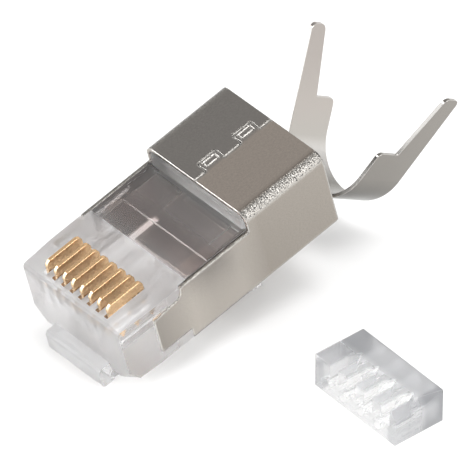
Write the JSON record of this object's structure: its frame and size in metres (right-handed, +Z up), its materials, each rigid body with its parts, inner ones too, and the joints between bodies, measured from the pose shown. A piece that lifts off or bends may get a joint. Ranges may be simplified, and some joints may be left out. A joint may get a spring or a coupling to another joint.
{
  "type": "rj45 modular plug",
  "caption": "Shielded modular plug: clear housing with latch, gold blades, folded metal shield with a crimp tail, and a loose clear load bar.",
  "frame": {"origin": "middle of the front face, at the underside of the body", "axes": "+Z up from the surface that the plug lies on, +Y level, from the front face to the cable end, +X across the contacts"},
  "size_m": [0.0295, 0.034, 0.0146],
  "materials": {
    "clear": "clear polycarbonate",
    "clear_bar": "clear polycarbonate",
    "shield": "satin nickel plate on brass sheet",
    "gold": "polished gold plate"
  },
  "bodies": {
    "plug": {"housing": "clear", "shield": "shield", "load_bar": "clear_bar"},
    "latch": {"latch": "clear"},
    "contacts": {"contact_1": "gold", "contact_2": "gold", "contact_3": "gold", "contact_4": "gold", "contact_5": "gold", "contact_6": "gold", "contact_7": "gold", "contact_8": "gold"}
  },
  "joints": [
    {"name": "latch_flex", "type": "hinge", "parent": "plug", "child": "latch", "pos_m": [0, 0.0004, -0.00055], "axis": [1, 0, 0], "range_deg": [0, 12], "stiffness_Nm_per_rad": 0.05},
    {"name": "contact_press", "type": "slide", "parent": "plug", "child": "contacts", "axis": [0, -0.2447, 0.9696], "range_m": [-0.00095, 0]}
  ]
}
